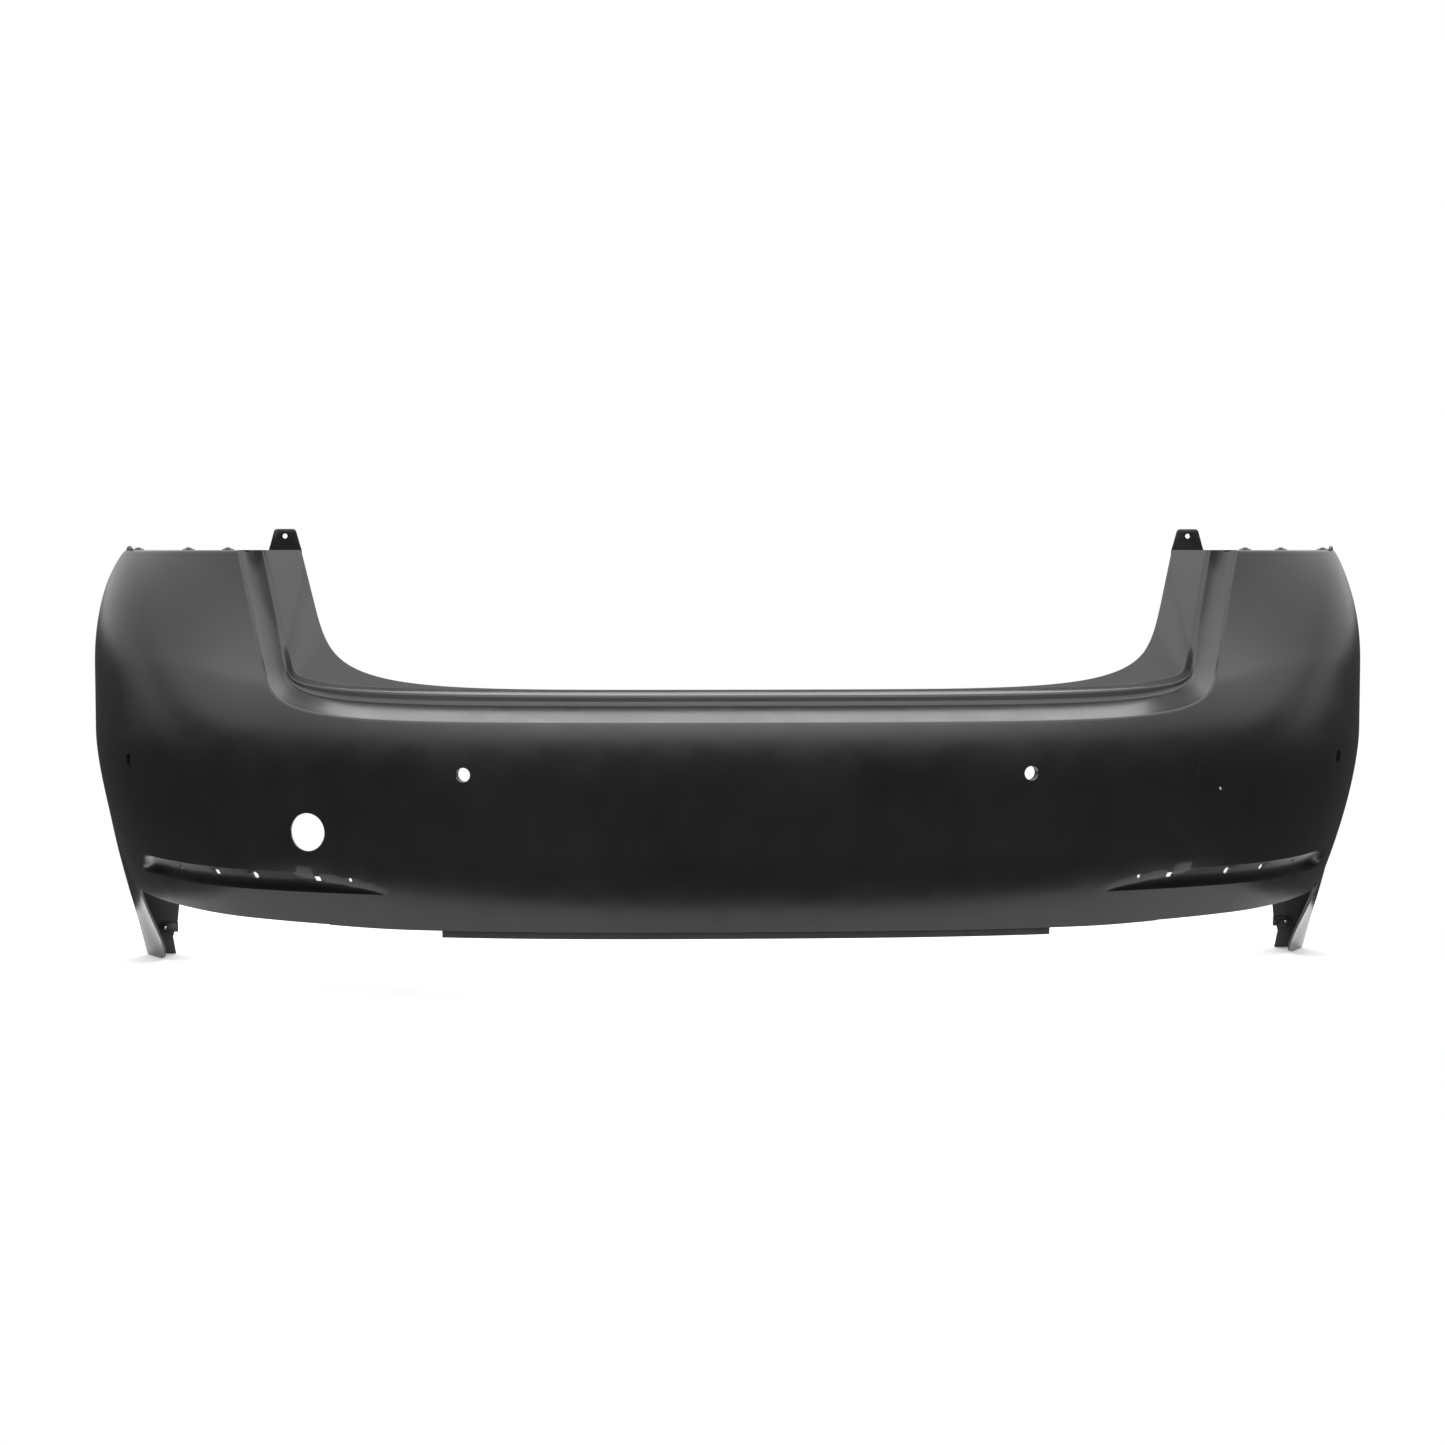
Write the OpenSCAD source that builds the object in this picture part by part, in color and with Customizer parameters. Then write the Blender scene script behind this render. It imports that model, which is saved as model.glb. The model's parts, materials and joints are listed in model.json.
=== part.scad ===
// Rear bumper cover of a saloon car: a thin moulded skin with a stepped opening for the boot lid, two wings that wrap
// round the corners, reflector recesses, and the holders, guides, rivets and clips fixed to its inner side.
// +X is to the right when looking at the car from behind, +Y points into the car, +Z is up.
// The origin is on the ground plane, under the middle of the cover's width and depth.

/* [Plan line] */
// Half of the width over the wheel-arch edges
half_w = 908; // [880:1:930]
// Depth at which the plan line runs straight forward
plan_d = 680; // [665:1:700]
// Power of the plan line: higher is squarer at the corners
plan_power = 2.65; // [2.4:0.05:2.9]

/* [Heights] */
// Height of the top edge of both wings
top_z = 582; // [570:1:600]
// Height of the bottom edge in the middle
bottom_z = 105; // [95:1:112]
// How much higher the bottom edge is near the corners
bottom_rise = 9; // [0:1:15]

/* [Wall] */
// Thickness of the moulded wall
wall = 3; // [2.5:0.1:3.5]

/* [Boot-lid opening] */
// Half width at the top of the opening's outer ridge
ridge_top_x = 656; // [640:1:670]
// Height of the outer ridge in the middle
ridge_mid_z = 368.5; // [360:0.5:375]
// Depth of the ledge in the middle
ledge_mid = 56; // [50:1:70]
// Depth of the step beside the opening
ledge_side = 58; // [50:1:66]
// Depth of the seal flange behind the ledge
flange_mid = 28; // [25:1:40]

/* [Wheel arch] */
// Radius of the wheel arch
arch_r = 350; // [340:1:360]
// Height of the arch centre
arch_z = 110; // [100:1:120]
// Distance of the arch centre from the rearmost face
arch_y = 900; // [895:1:905]
// Width of the flange along the arch
arch_flange_w = 42; // [36:1:46]

/* [Reflector recess] */
// Height of the lower edge of each recess
recess_z = 150; // [146:1:154]
// Height of each recess
recess_h = 25; // [20:1:28]
// Depth of each recess
recess_depth = 14; // [8:0.5:16]

/* [Holes] */
// Radius of the four parking-sensor holes
sensor_hole_r = 9; // [8:0.25:10]
// Radius of the tow-eye opening
tow_hole_r = 24; // [20:0.5:26]
// Radius of the fixing hole in each ear
ear_hole_r = 3.3; // [2.7:0.1:4]

/* [Rivets and clips] */
// Radius of a rivet head
rivet_head_r = 8; // [7:0.25:8.5]
// Radius of the screw hole in each sheet-metal nut
nut_hole_r = 2.1; // [1.8:0.1:2.4]

/* [Hidden] */

// ---- shared shape of the outer face

// Rear face turns into the side face between these distances from the middle
side_from = 640;
side_to = 880;
// Height at which the rear face starts to lean forward, and the lean up to the shoulder line
lean_z = 290;
lean_span = 135;
lean_depth = 25.8;
lean_power = 2.24;
// Tuck of the rear face towards the bottom edge: where it starts, its height span, depth and power
rear_tuck = [200, 95, 18, 1.6];
// Side face: its lean above a height and its tuck below another, as [start, height span, depth, power]
side_lean = [420, 162, 37, 2.2];
side_tuck = [330, 317, 95, 1.6];
// The side tuck weakens by this share between two distances forward
side_tuck_loss = 0.45;
side_tuck_fade = [450, 600];
// Slope and easing of the face above the shoulder line
shoulder_slope = 0.53;
shoulder_ease = 0.0011;
// Shoulder line: height at the opening and how far it climbs towards the corner
shoulder_z = 413;
shoulder_rise = 28;
shoulder_climb = [600, 800];

function sgn(v) = v < 0 ? -1 : 1;
function pos(v) = max(0, v);
function ease(a, b, v) = let (t = min(1, pos((v - a) / (b - a)))) t * t * (3 - 2 * t);
function mix(a, b, t) = a + (b - a) * t;
function unit(v) = v / norm(v);

// Ratio across and ratio along the plan line at angle a
function across(a) = sin(a) * pow(pow(abs(sin(a)), plan_power) + pow(abs(cos(a)), plan_power), -1 / plan_power);
function along(a) = cos(a) * pow(pow(abs(sin(a)), plan_power) + pow(abs(cos(a)), plan_power), -1 / plan_power);
function plan(a) = [half_w * across(a), plan_d * (1 - along(a))];
function outward(a) = unit([sgn(a) * pow(abs(across(a)), plan_power - 1) / half_w,
    -pow(abs(along(a)), plan_power - 1) / plan_d]);
function heading(a) = atan2(outward(a)[0], -outward(a)[1]);
function angle_at_x(x) = let (u = abs(x) / half_w)
    sgn(x) * atan2(u, pow(1 - pow(u, plan_power), 1 / plan_power));
function angle_at_y(y) = let (v = (plan_d - y) / plan_d)
    atan2(pow(1 - pow(v, plan_power), 1 / plan_power), v);

// How far the outer face stands inside the plan line
function bend(b, v) = b[2] * pow(pos(v) / b[1], b[3]);
function rear_inset(x, z) = let (
        shoulder = shoulder_z + shoulder_rise * ease(shoulder_climb[0], shoulder_climb[1], abs(x)),
        lean = lean_depth * pow(pos(min(z, shoulder) - lean_z) / lean_span, lean_power),
        above = pos(z - shoulder))
    lean + shoulder_slope * above - shoulder_ease * above * above + bend(rear_tuck, rear_tuck[0] - z);
function side_inset(y, z) = bend(side_lean, z - side_lean[0])
    + bend(side_tuck, side_tuck[0] - z) * (1 - side_tuck_loss * ease(side_tuck_fade[0], side_tuck_fade[1], y));
function inset(a, z) = let (p = plan(a), t = ease(side_from, side_to, abs(p[0])))
    mix(rear_inset(p[0], z), side_inset(p[1], z), t);

// Half of the cover's depth, which puts the origin under its middle
mid_depth = 325;
// Point on the outer face, pushed inwards by depth
function face(a, z, depth = 0) = let (p = plan(a) - (inset(a, z) + depth) * outward(a)) [p[0], p[1] - mid_depth, z];
// Angle at which the outer face has the given x, by repeated correction
function angle_for(x, z, a, left = 4) = left == 0 ? a :
    angle_for(x, z, angle_at_x(plan(a)[0] + x - face(a, z)[0]), left - 1);

// ---- closed shell from a grid of points: cells that exist get two faces, and walls at their edges

function grid_normal(grid, r, c, has, flip) = let (
        r0 = r > 0 && has[r - 1][c] ? r - 1 : r,
        r1 = r < len(grid) - 1 && has[r + 1][c] ? r + 1 : r,
        c0 = c > 0 && has[r][c - 1] ? c - 1 : c,
        c1 = c < len(grid[0]) - 1 && has[r][c + 1] ? c + 1 : c)
    flip * unit(cross(grid[r][c1] - grid[r][c0], grid[r1][c] - grid[r0][c]));
function full_mask(grid) = [for (row = grid) [for (p = row) true]];

// has says which vertices exist; a cell exists where its four corners do
module shell(grid, has, flip = 1, thick = wall) {
    rows = len(grid);
    cols = len(grid[0]);
    inner = [for (r = [0 : rows - 1]) [for (c = [0 : cols - 1])
        has[r][c] ? grid[r][c] - thick * grid_normal(grid, r, c, has, flip) : grid[r][c]]];
    points = concat([for (row = grid) for (p = row) p], [for (row = inner) for (p = row) p]);
    half = rows * cols;
    function cell(r, c) = r >= 0 && c >= 0 && r < rows - 1 && c < cols - 1
        && has[r][c] && has[r][c + 1] && has[r + 1][c] && has[r + 1][c + 1];
    function v(r, c, side) = side * half + r * cols + c;
    function quad(a, b, c, d) = flip > 0 ? [[a, d, c], [a, c, b]] : [[a, b, c], [a, c, d]];
    faces = [for (r = [0 : rows - 2]) for (c = [0 : cols - 2]) if (cell(r, c)) each concat(
        quad(v(r, c, 0), v(r, c + 1, 0), v(r + 1, c + 1, 0), v(r + 1, c, 0)),
        quad(v(r, c, 1), v(r + 1, c, 1), v(r + 1, c + 1, 1), v(r, c + 1, 1)),
        cell(r - 1, c) ? [] : quad(v(r, c, 1), v(r, c + 1, 1), v(r, c + 1, 0), v(r, c, 0)),
        cell(r + 1, c) ? [] : quad(v(r + 1, c, 0), v(r + 1, c + 1, 0), v(r + 1, c + 1, 1), v(r + 1, c, 1)),
        cell(r, c - 1) ? [] : quad(v(r, c, 0), v(r + 1, c, 0), v(r + 1, c, 1), v(r, c, 1)),
        cell(r, c + 1) ? [] : quad(v(r, c + 1, 1), v(r + 1, c + 1, 1), v(r + 1, c + 1, 0), v(r, c + 1, 0)))];
    polyhedron(points = points, faces = faces, convexity = 10);
}

// ---- outlines round the boot-lid opening: [x at the top, x at leg_z, leg_z, middle z, power]

ridge = [ridge_top_x, ridge_top_x - 26, 486, ridge_mid_z, 7.5];
step_foot = [ridge_top_x - 24, ridge_top_x - 56, 460, ridge_mid_z + 18, 6.7];
step_head = [ridge_top_x - 25.5, ridge_top_x - 64, 436, ridge_mid_z + 30.5, 4.7];
shelf_back = [ridge_top_x - 29, ridge_top_x - 68, 438, ridge_mid_z + 34, 4.7];
opening_edge = [ridge_top_x - 75, ridge_top_x - 81, 561, ridge_mid_z + 36, 6.2];
outlines = [ridge, step_foot, step_head, shelf_back, opening_edge];

leg_steps = 5;
mid_steps = 36;
wing_steps = 20;
low_steps = 5;
rise_steps = 10;

function leg_x(o, z) = mix(o[0], o[1], (top_z - z) / (top_z - o[2]));
function corner_z(o, s) = o[3] + (o[2] - o[3]) * (1 - pow(pos(1 - pow(abs(s), o[4])), 1 / o[4]));
// Spread of the middle columns: closer together towards the two corners
function spread(k) = sin(-90 + 180 * k / mid_steps);

// Point k of outline o as [x, z]: down the left leg, through the middle, up the right leg
function outline_point(o, k) = k < leg_steps ? let (z = mix(top_z, o[2], k / leg_steps)) [-leg_x(o, z), z]
    : k > leg_steps + mid_steps ? let (m = outline_point(o, 2 * leg_steps + mid_steps - k)) [-m[0], m[1]]
    : let (s = spread(k - leg_steps), z = corner_z(o, s)) [s * leg_x(o, z), z];
function face_point(p) = face(angle_for(p[0], p[1], angle_at_x(p[0])), p[1]);

// How far each outline lies behind the face continued across the opening, in the middle and beside the opening
setback_from = 402;
setback_to = 470;
setback_mid = [0, ledge_mid, ledge_mid - 3, ledge_mid + flange_mid, ledge_mid + flange_mid];
setback_side = [0, ledge_side, ledge_side + 2, ledge_side + 8, ledge_side + 37];
function set_back(i, z) = mix(setback_mid[i], setback_side[i], ease(setback_from, setback_to, z));
opening_grid = [for (i = [0 : 4]) [for (k = [0 : 2 * leg_steps + mid_steps])
    let (p = outline_point(outlines[i], k))
    i == 0 ? face_point(p) : [p[0], face_point(p)[1] + set_back(i, p[1]), p[1]]]];

// ---- grid of the outer skin: rows climb from the bottom edge, columns run from the left to the right arch

recess_top = recess_z + recess_h;
arch_top = 355;
// Shares of a wing, from the opening to the arch, at which the top edge starts to fall
// and the toe starts and ends
fall_from = 0.5;
toe_from = 0.72;
toe_to = 0.9;
// Power of the top edge's fall, and where the foot of a wing starts
fall_power = 1.3;
wing_foot_x = 540;
// The bottom edge rises between these distances from the middle
rise_from = 420;
rise_to = 700;
// Plan angles of the recess: pointed inner end, full height, and rounded outer end
recess_point_a = 28.3;
recess_full_a = 36;
recess_end_a = 59;
recess_end_span = 3;
// Powers of the recess outline and of its depth, and its least share of height
recess_outline_power = 0.6;
recess_depth_power = 0.7;
recess_least = 0.2;

low_rows = low_steps + 4;
skin_rows = low_rows + rise_steps + leg_steps;
open_row = low_rows + rise_steps;
skin_cols = 2 * wing_steps + mid_steps;

function arch_edge_y(z) = arch_y - sqrt(arch_r * arch_r - pow(min(z, arch_top) - arch_z, 2));
function recess_share(a) = a < recess_full_a
    ? pow(pos(a - recess_point_a) / (recess_full_a - recess_point_a), recess_outline_power)
    : a < recess_end_a - recess_end_span ? 1
    : sqrt(pos(1 - pow((a - recess_end_a + recess_end_span) / recess_end_span, 2)));
function recess_at(a, z) = z <= recess_z + 0.5 ? 0 :
    recess_depth * recess_share(abs(a))
        * pow(pos(1 - (z - recess_z) / (recess_h * max(recess_least, recess_share(abs(a))))), recess_depth_power);

// Height share of each row above the recess, from the recess top to the top edge of a wing
function rise_share(r) = let (open = (ridge[2] - recess_top) / (top_z - recess_top))
    r <= open_row ? open * (r - low_rows) / rise_steps : mix(open, 1, (r - open_row) / leg_steps);
recess_levels = [0, 1, 9, 17, recess_h];
function row_z(r, foot, head) = r < low_steps ? mix(foot, recess_z, r / low_steps)
    : r <= low_rows ? recess_z + recess_levels[r - low_steps]
    : mix(recess_top, head, rise_share(r));

function middle_foot(x) = bottom_z + bottom_rise * ease(rise_from, rise_to, abs(x));
function middle_point(s, r) = let (head = corner_z(ridge, s),
        full = r <= low_rows ? 0 : (r - low_rows) / rise_steps,
        z = r <= low_rows ? row_z(r, middle_foot(s * leg_x(ridge, bottom_z)), head) : mix(recess_top, head, full),
        x = s * leg_x(ridge, z), a = angle_for(x, z, angle_at_x(x)))
    face(a, z, recess_at(a, z));

// q runs from the opening (0) to the wheel arch (1)
function wing_foot(q) = let (x = mix(wing_foot_x, half_w, q)) middle_foot(x) * (1 - ease(toe_from, toe_to, q));
function wing_head(q) = top_z - (top_z - arch_top) * pow(pos(q - fall_from) / (1 - fall_from), fall_power);
function wing_angle(q, z) = let (x = leg_x(ridge, z)) mix(angle_for(x, z, angle_at_x(x)), angle_at_y(arch_edge_y(z)), q);
function wing_point(side, q, r) = let (z = row_z(r, wing_foot(q), wing_head(q)), a = wing_angle(q, z),
        p = face(a, z, recess_at(a, z)))
    [side * p[0], p[1], p[2]];

function skin_point(r, c) = c <= wing_steps ? wing_point(-1, 1 - c / wing_steps, r)
    : c >= wing_steps + mid_steps ? wing_point(1, (c - wing_steps - mid_steps) / wing_steps, r)
    : middle_point(spread(c - wing_steps), min(r, open_row));
function on_wing(c) = c <= wing_steps || c >= wing_steps + mid_steps;
skin_grid = [for (r = [0 : skin_rows]) [for (c = [0 : skin_cols]) skin_point(r, c)]];
skin_mask = [for (r = [0 : skin_rows]) [for (c = [0 : skin_cols]) r <= open_row || on_wing(c)]];

// ---- flanges of the skin

top_flange_w = 24;
// How far the flanges sit inside the rims of the skin
rim_step = 0.6;
// Wing columns as a list, from the opening to the arch
function wing_cols(side) = [for (k = [0 : wing_steps]) side < 0 ? wing_steps - k : wing_steps + mid_steps + k];
// Point set back from the top edge of a wing, square to the plan line
function top_edge_back(side, q, back, drop = 0) = let (z = wing_head(q), p = face(wing_angle(q, z), z, back))
    [side * p[0], p[1], z - rim_step - drop];

module top_flange(side) {
    grid = [for (back = [rim_step, top_flange_w]) [for (k = [0 : wing_steps]) top_edge_back(side, k / wing_steps, back)]];
    shell(grid, full_mask(grid), side);
}

// Rounded upstand where the top edge turns the corner
lobe_q = 0.45;
lobe_w = 32;
lobe_h = 6;
lobe_inset = 0.5;
module corner_lobe(side) {
    translate(top_edge_back(side, lobe_q, wall / 2)) rotate([90, 0, side * heading(wing_angle(lobe_q, top_z))])
        scale([lobe_w / 2, lobe_h, wall - 2 * lobe_inset]) cylinder(r = 1, h = 1, center = true, $fn = 48);
}

// The arch flange is wider by this much between its toe and the reflector
arch_extra_w = 24;
function arch_width(z) = arch_flange_w + arch_extra_w * ease(15, 75, z) * (1 - ease(110, 200, z));
// Point on the right arch flange at height z, a distance in from the face
function arch_flange_point(z, inward) = face(angle_at_y(arch_edge_y(z) - rim_step), z, inward);
function arch_point(side, r, inward) = let (z = row_z(r, wing_foot(1), wing_head(1)),
        p = arch_flange_point(z, mix(rim_step, arch_width(z), inward)))
    [side * p[0], p[1], p[2]];
module arch_flange(side) {
    grid = [for (r = [0 : skin_rows]) [for (inward = [0, 0.5, 1]) arch_point(side, r, inward)]];
    shell(grid, full_mask(grid), side);
}

ear_x = 602;
ear_w = 44;
ear_h = 28;
ear_hole_z = 600.5;
ear_foot_h = 12;
ear_corner_r = 5;
ear_corner_x = 11.5;
ear_y = opening_grid[4][0][1];
module ear(side) {
    translate([side * ear_x, ear_y + wall / 2, 0]) rotate([90, 0, 0]) linear_extrude(wall, center = true)
        hull() {
            translate([-ear_w / 2, top_z - ear_foot_h]) square([ear_w, ear_foot_h]);
            for (x = [-ear_corner_x, ear_corner_x])
                translate([x, top_z + ear_h - ear_corner_r]) circle(ear_corner_r, $fn = 24);
        }
}

// ---- holes of the skin

sensor_inner_a = 22;
sensor_outer_a = 56.4;
sensor_z = 303;
tow_a = -34.5;
tow_z = 227;
pilot_a = 38.5;
pilot_z = 276;
pilot_r = 2;
// Radius of the clearance holes in the flanges
flange_hole_r = 4;
// Reflector fixings: [plan angle, radius] for round holes and [plan angle, width, height] for slots
reflector_z = 168;
reflector_round = [[31, 2.5], [39.7, 4.5], [49.5, 3]];
reflector_slots = [[33.8, 8, 6], [44, 10, 6]];

// Carries its children to the outer face at plan angle a, local -Y pointing out of the face
module on_face(a, z) {
    p = face(a, z);
    translate(p) rotate([0, 0, heading(a)]) children();
}
module flange_hole() cylinder(r = flange_hole_r, h = 30, center = true, $fn = 48);
module drill(r, length = 60) rotate([90, 0, 0]) cylinder(r = r, h = length, center = true, $fn = 48);
// Rivets along the top flange, as shares of the wing
rivet_q = [0.05, 0.175, 0.44];
rivet_back = 12;
function rivet_place(side, i) = let (p = face(wing_angle(rivet_q[i], top_z), top_z, rivet_back))
    [side * p[0], p[1], top_z - rim_step];

module skin_body() {
    resize([0, 0, 0]) union() {
        shell(skin_grid, skin_mask);
        shell(opening_grid, full_mask(opening_grid));
        for (side = [-1, 1]) {
            top_flange(side);
            arch_flange(side);
            corner_lobe(side);
            ear(side);
        }
    }
}

module cover_skin() {
    color("dimgray") difference() {
        skin_body();
        for (side = [-1, 1]) {
            on_face(side * sensor_inner_a, sensor_z) drill(sensor_hole_r);
            on_face(side * sensor_outer_a, sensor_z) drill(sensor_hole_r);
            translate([side * ear_x, ear_y, ear_hole_z]) drill(ear_hole_r);
            for (h = reflector_round) on_face(side * h[0], reflector_z) drill(h[1]);
            for (h = reflector_slots) on_face(side * h[0], reflector_z) cube([h[1], 60, h[2]], center = true);
            for (i = [0 : 2]) translate(rivet_place(side, i)) flange_hole();
            for (z = arch_nut_z) at_arch_nut(side, z) flange_hole();
        }
        on_face(tow_a, tow_z) drill(tow_hole_r);
        on_face(pilot_a, pilot_z) drill(pilot_r);
    }
}

// ---- strip behind the bottom edge, which carries the screws of the lower trim

strip_half_a = 24;
strip_low_z = 96;
strip_bend_z = 107;
strip_top_z = 118;
strip_foot_w = 24;
strip_thick = 2.5;
strip_gap = 0.8;
strip_cols = 24;
function strip_point(a, z, back) = let (p = face(a, max(z, bottom_z), wall + strip_gap + back)) [p[0], p[1], z];
module strip_body() {
    levels = [[strip_low_z, 0], [strip_bend_z, 0], [strip_top_z, 0], [strip_top_z, strip_foot_w]];
    grid = [for (level = levels) [for (c = [0 : strip_cols])
        strip_point(mix(-strip_half_a, strip_half_a, c / strip_cols), level[0], level[1])]];
    shell(grid, full_mask(grid), 1, strip_thick);
}
strip_nut_a = [4.6, 14];
function strip_nut_place(a) = strip_point(a, strip_top_z, strip_foot_w - strip_nut_edge);
module lower_strip() {
    color([0.05, 0.05, 0.05]) difference() {
        resize([0, 0, 0]) strip_body();
        for (side = [-1, 1]) for (a = strip_nut_a)
            translate(strip_nut_place(side * a)) flange_hole();
    }
}

// ---- slide rail under each top flange

guide_gap = 0.3;
guide_bar = 4;
guide_web = 2.5;
guide_web_h = 30;
// Edges of the bar and place of the web, set back from the top edge, and their ends as shares of the wing
guide_bar_back = [6, 21];
guide_web_back = 18;
guide_ends = [0.03, 0.48];
guide_steps = 9;
guide_q = [for (k = [0 : guide_steps]) mix(guide_ends[0], guide_ends[1], k / guide_steps)];
module guide_body(side) {
    top_drop = wall + guide_gap;
    bar = [for (back = guide_bar_back) [for (q = guide_q) top_edge_back(side, q, back, top_drop)]];
    web = [for (drop = [top_drop, top_drop + guide_web_h]) [for (q = guide_q)
        top_edge_back(side, q, guide_web_back, drop)]];
    shell(bar, full_mask(bar), side, guide_bar);
    shell(web, full_mask(web), -side, guide_web);
}
module side_guide(side) {
    color([0.12, 0.12, 0.12]) difference() {
        resize([0, 0, 0]) guide_body(side);
        for (i = [0 : 2]) translate(rivet_place(side, i)) flange_hole();
    }
}

// ---- two-piece push rivet: a slotted body and the pin that spreads it

rivet_bore_r = 2.1;
rivet_shank_r = 3.8;
rivet_length = 16;
rivet_head_h = 1.6;
rivet_seat = 0.1;
pin_r = 2;
pin_head_r = 4.5;
pin_head_h = 1.4;
pin_gap = 0.2;
// The cross slot that lets the shank spread, as [width, depth]
rivet_slot = [1, 6];
module push_rivet() {
    color([0.08, 0.08, 0.08]) translate([0, 0, rivet_seat]) difference() {
        union() {
            cylinder(r = rivet_head_r, h = rivet_head_h, $fn = 48);
            translate([0, 0, -rivet_length]) cylinder(r = rivet_shank_r, h = rivet_length + rivet_head_h, $fn = 48);
        }
        translate([0, 0, -rivet_length - 1]) cylinder(r = rivet_bore_r, h = rivet_length + 5, $fn = 48);
        for (turn = [0, 90]) rotate([0, 0, turn])
            translate([-rivet_head_r, -rivet_slot[0] / 2, -rivet_length - 1])
                cube([2 * rivet_head_r, rivet_slot[0], rivet_slot[1] + 1]);
    }
}
module rivet_pin() {
    color([0.1, 0.1, 0.1]) translate([0, 0, rivet_seat + rivet_head_h + pin_gap]) {
        cylinder(r = pin_head_r, h = pin_head_h, $fn = 48);
        translate([0, 0, -rivet_length - pin_gap]) cylinder(r = pin_r, h = rivet_length + pin_gap + 0.5, $fn = 48);
    }
}
module rivet_at(side, i) translate(rivet_place(side, i)) push_rivet();
module pin_at(side, i) translate(rivet_place(side, i)) rivet_pin();

// ---- parking-sensor holder: base plate with a ring and two spring arms

holder_plate = [36, 2, 30];
holder_ring_r = 13.5;
holder_bore_r = 9.6;
holder_ring_len = 13;
// The arms stand beside the ring, and their hooks reach past its end
holder_arm_x = 16;
holder_arm_len = 17;
holder_arm = [2, 12];
holder_hook = [2.8, 2];
holder_hook_reach = 1.4;
// How far the flat plate stands off the curved wall
holder_gap_inner = 1;
holder_gap_outer = 2.6;
module sensor_holder(gap) {
    color([0.1, 0.1, 0.1]) translate([0, wall + gap, 0]) difference() {
        union() {
            translate([0, holder_plate[1] / 2, 0]) cube(holder_plate, center = true);
            rotate([-90, 0, 0]) cylinder(r = holder_ring_r, h = holder_ring_len, $fn = 64);
            for (s = [-1, 1]) translate([s * holder_arm_x, holder_arm_len / 2, 0])
                cube([holder_arm[0], holder_arm_len, holder_arm[1]], center = true);
            for (s = [-1, 1])
                translate([s * (holder_arm_x - holder_hook_reach), holder_arm_len - holder_hook[1] / 2, 0])
                    cube([holder_hook[0], holder_hook[1], holder_arm[1]], center = true);
        }
        rotate([90, 0, 0]) cylinder(r = holder_bore_r, h = 60, center = true, $fn = 64);
    }
}
module holder_at(a, gap) on_face(a, sensor_z) sensor_holder(gap);

// ---- sheet-metal nuts: a folded plate gripping a flange, with a raised screw hole

arch_nut_z = [40, 110, 250];
nut_gap = 0.6;
nut_sheet = 1;
nut_w = 14;
nut_tail = 8;
nut_fold_gap = 2.5;
nut_boss_r = 4;
nut_boss_h = 4;
// Distance of each screw from the free edge of its flange
arch_nut_edge = 14;
strip_nut_edge = 10;
// Origin on the middle of the flange, local Z square to it, local -X towards its free edge
module sheet_nut(flange, edge) {
    step = flange / 2 + nut_gap;
    fold_x = edge + nut_fold_gap;
    color("silver") difference() {
        union() {
            for (s = [0, 1]) mirror([0, 0, s])
                translate([-fold_x, -nut_w / 2, step]) cube([fold_x + nut_tail, nut_w, nut_sheet]);
            translate([-fold_x - nut_sheet, -nut_w / 2, -step - nut_sheet])
                cube([nut_sheet, nut_w, 2 * (step + nut_sheet)]);
            translate([0, 0, step]) cylinder(r = nut_boss_r, h = nut_boss_h, $fn = 48);
        }
        cylinder(r = nut_hole_r, h = 30, center = true, $fn = 48);
    }
}
// Carries its children to the middle of the right arch flange: local X towards the face, local Z square to the flange
module on_arch_flange(z) {
    inward = arch_width(z) - arch_nut_edge;
    p = arch_flange_point(z, inward);
    across = unit(arch_flange_point(z, inward - 1) - p);
    upwards = arch_flange_point(z + 1, arch_width(z + 1) - arch_nut_edge)
        - arch_flange_point(z - 1, arch_width(z - 1) - arch_nut_edge);
    square = unit(cross(across, upwards));
    up = cross(square, across);
    middle = p + wall / 2 * square;
    multmatrix([for (i = [0 : 2]) [across[i], up[i], square[i], middle[i]]]) children();
}
module at_arch_nut(side, z) mirror([side > 0 ? 0 : 1, 0, 0]) on_arch_flange(z) children();
module arch_nuts(side) for (z = arch_nut_z) at_arch_nut(side, z) sheet_nut(wall, arch_nut_edge);
module strip_nuts() for (side = [-1, 1]) for (a = strip_nut_a)
    translate(strip_nut_place(side * a) - [0, 0, strip_thick / 2]) rotate([0, 0, heading(side * a) - 90])
        mirror([0, 0, 1]) sheet_nut(strip_thick, strip_nut_edge);

cover_skin();
lower_strip();
side_guide(-1);  // side_guide_left
side_guide(1);  // side_guide_right
holder_at(-sensor_outer_a, holder_gap_outer);  // sensor_holder_outer_left
holder_at(-sensor_inner_a, holder_gap_inner);  // sensor_holder_inner_left
holder_at(sensor_inner_a, holder_gap_inner);  // sensor_holder_inner_right
holder_at(sensor_outer_a, holder_gap_outer);  // sensor_holder_outer_right
rivet_at(-1, 2);  // rivet_front_left
rivet_at(-1, 1);  // rivet_middle_left
rivet_at(-1, 0);  // rivet_rear_left
rivet_at(1, 2);  // rivet_front_right
rivet_at(1, 1);  // rivet_middle_right
rivet_at(1, 0);  // rivet_rear_right
pin_at(-1, 2);  // pin_front_left
pin_at(-1, 1);  // pin_middle_left
pin_at(-1, 0);  // pin_rear_left
pin_at(1, 2);  // pin_front_right
pin_at(1, 1);  // pin_middle_right
pin_at(1, 0);  // pin_rear_right
arch_nuts(-1);  // arch_nuts_left
arch_nuts(1);  // arch_nuts_right
strip_nuts();
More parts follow.
